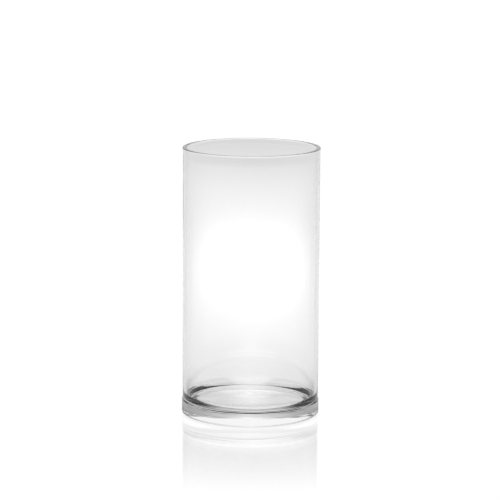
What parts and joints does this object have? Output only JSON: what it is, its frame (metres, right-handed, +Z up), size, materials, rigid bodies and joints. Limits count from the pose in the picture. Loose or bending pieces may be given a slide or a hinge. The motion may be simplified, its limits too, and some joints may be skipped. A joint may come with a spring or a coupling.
{
  "type": "cylinder vase",
  "caption": "Straight-sided clear glass cylinder vase with a thick heavy base, rounded inner floor corner and fire-polished rim, for cut flowers.",
  "frame": {"origin": "centre of the base, on the surface that the vase stands on", "axes": "+Z up along the vase's axis of revolution, towards the mouth; X and Y are equal, because the vase is round"},
  "size_m": [0.1024, 0.1024, 0.2],
  "materials": {
    "clear_glass": "clear polished soda-lime glass with slight waviness, fire-polished rim"
  },
  "bodies": {
    "root": {"base_disc": "clear_glass", "heel_ring": "clear_glass", "side_wall": "clear_glass", "rim_bead": "clear_glass"}
  },
  "joints": []
}
